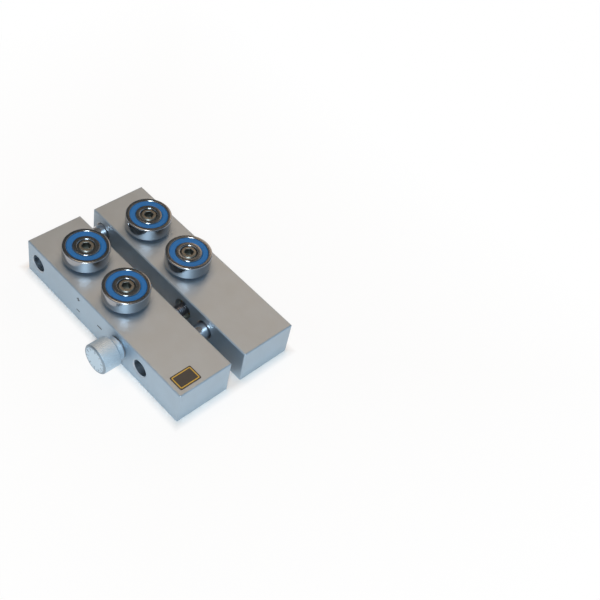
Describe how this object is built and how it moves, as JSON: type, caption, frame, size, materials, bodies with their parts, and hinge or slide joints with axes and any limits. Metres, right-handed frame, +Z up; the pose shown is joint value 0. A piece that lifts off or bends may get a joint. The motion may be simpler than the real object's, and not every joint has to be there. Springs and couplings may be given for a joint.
{
  "type": "ic pin straightener",
  "caption": "Bench tool with two sliding jaws, ball-bearing rollers and a knob-driven screw that press a chip's pins straight.",
  "frame": {"origin": "centre of the front block's underside, on the bench", "axes": "+X along the blocks from the rod end to the label end, +Y from the knob side to the back block, +Z up"},
  "size_m": [0.11, 0.0787, 0.0271],
  "materials": {
    "anodised_block": "bead-blasted, clear anodised",
    "knob_aluminium": "turned and knurled, clear anodised",
    "ground_steel": "ground and polished",
    "bearing_steel": "ground bearing steel",
    "ball_steel": "polished",
    "cage_steel": "pressed steel",
    "axle_steel": "oiled black oxide",
    "black_steel": "black oxide",
    "bronze": "sintered bronze",
    "brass": "turned",
    "blue_seal": "matt moulded rubber",
    "label_foil": "blank printed foil"
  },
  "bodies": {
    "front_jaw": {"front_block": "anodised_block", "guide_bush_left": "bronze", "guide_bush_right": "bronze", "spindle_bush": "bronze", "thrust_washer_front": "ground_steel", "thrust_washer_rear": "bronze", "corner_label": "label_foil", "front_left_axle": "axle_steel", "front_left_spacer": "ground_steel", "front_left_inner_ring": "bearing_steel", "front_right_axle": "axle_steel", "front_right_spacer": "ground_steel", "front_right_inner_ring": "bearing_steel"},
    "back_jaw": {"back_block": "anodised_block", "guide_rod_left": "ground_steel", "guide_rod_right": "ground_steel", "rod_screw_left": "black_steel", "rod_screw_right": "black_steel", "spindle_nut": "brass", "back_left_axle": "axle_steel", "back_left_spacer": "ground_steel", "back_left_inner_ring": "bearing_steel", "back_right_axle": "axle_steel", "back_right_spacer": "ground_steel", "back_right_inner_ring": "bearing_steel"},
    "knob_and_spindle": {"knob": "knob_aluminium", "knob_screw": "black_steel", "spindle": "black_steel"},
    "front_left_rim": {"front_left_outer_ring": "bearing_steel", "front_left_seal_top": "blue_seal", "front_left_seal_bottom": "blue_seal"},
    "front_left_ball_set": {"front_left_balls": "ball_steel", "front_left_cage": "cage_steel"},
    "front_right_rim": {"front_right_outer_ring": "bearing_steel", "front_right_seal_top": "blue_seal", "front_right_seal_bottom": "blue_seal"},
    "front_right_ball_set": {"front_right_balls": "ball_steel", "front_right_cage": "cage_steel"},
    "back_left_rim": {"back_left_outer_ring": "bearing_steel", "back_left_seal_top": "blue_seal", "back_left_seal_bottom": "blue_seal"},
    "back_left_ball_set": {"back_left_balls": "ball_steel", "back_left_cage": "cage_steel"},
    "back_right_rim": {"back_right_outer_ring": "bearing_steel", "back_right_seal_top": "blue_seal", "back_right_seal_bottom": "blue_seal"},
    "back_right_ball_set": {"back_right_balls": "ball_steel", "back_right_cage": "cage_steel"}
  },
  "joints": [
    {"name": "jaw_slide", "type": "slide", "parent": "front_jaw", "child": "back_jaw", "axis": [0, 1, 0], "range_m": [-0.0075, 0.0023]},
    {"name": "knob_turn", "type": "hinge", "parent": "front_jaw", "child": "knob_and_spindle", "pos_m": [0.0132, -0.02, 0.0098], "axis": [0, 1, 0], "range_deg": [-829, 2701]},
    {"name": "front_left_roller_spin", "type": "hinge", "parent": "front_jaw", "child": "front_left_rim", "pos_m": [-0.031, 0.0005, 0.0236], "axis": [0, 0, 1], "continuous": true},
    {"name": "front_left_cage_spin", "type": "hinge", "parent": "front_jaw", "child": "front_left_ball_set", "pos_m": [-0.031, 0.0005, 0.0236], "axis": [0, 0, 1], "continuous": true},
    {"name": "front_right_roller_spin", "type": "hinge", "parent": "front_jaw", "child": "front_right_rim", "pos_m": [-0.0015, 0.0005, 0.0236], "axis": [0, 0, 1], "continuous": true},
    {"name": "front_right_cage_spin", "type": "hinge", "parent": "front_jaw", "child": "front_right_ball_set", "pos_m": [-0.0015, 0.0005, 0.0236], "axis": [0, 0, 1], "continuous": true},
    {"name": "back_left_roller_spin", "type": "hinge", "parent": "back_jaw", "child": "back_left_rim", "pos_m": [-0.031, 0.0364, 0.0236], "axis": [0, 0, 1], "continuous": true},
    {"name": "back_left_cage_spin", "type": "hinge", "parent": "back_jaw", "child": "back_left_ball_set", "pos_m": [-0.031, 0.0364, 0.0236], "axis": [0, 0, 1], "continuous": true},
    {"name": "back_right_roller_spin", "type": "hinge", "parent": "back_jaw", "child": "back_right_rim", "pos_m": [-0.0015, 0.0364, 0.0236], "axis": [0, 0, 1], "continuous": true},
    {"name": "back_right_cage_spin", "type": "hinge", "parent": "back_jaw", "child": "back_right_ball_set", "pos_m": [-0.0015, 0.0364, 0.0236], "axis": [0, 0, 1], "continuous": true}
  ],
  "couplings": [
    {"joint": "knob_turn", "follows": "jaw_slide", "rad_per_m": -6283.2},
    {"joint": "front_left_cage_spin", "follows": "front_left_roller_spin", "ratio": 0.632},
    {"joint": "front_right_cage_spin", "follows": "front_right_roller_spin", "ratio": 0.632},
    {"joint": "back_left_cage_spin", "follows": "back_left_roller_spin", "ratio": 0.632},
    {"joint": "back_right_cage_spin", "follows": "back_right_roller_spin", "ratio": 0.632}
  ]
}
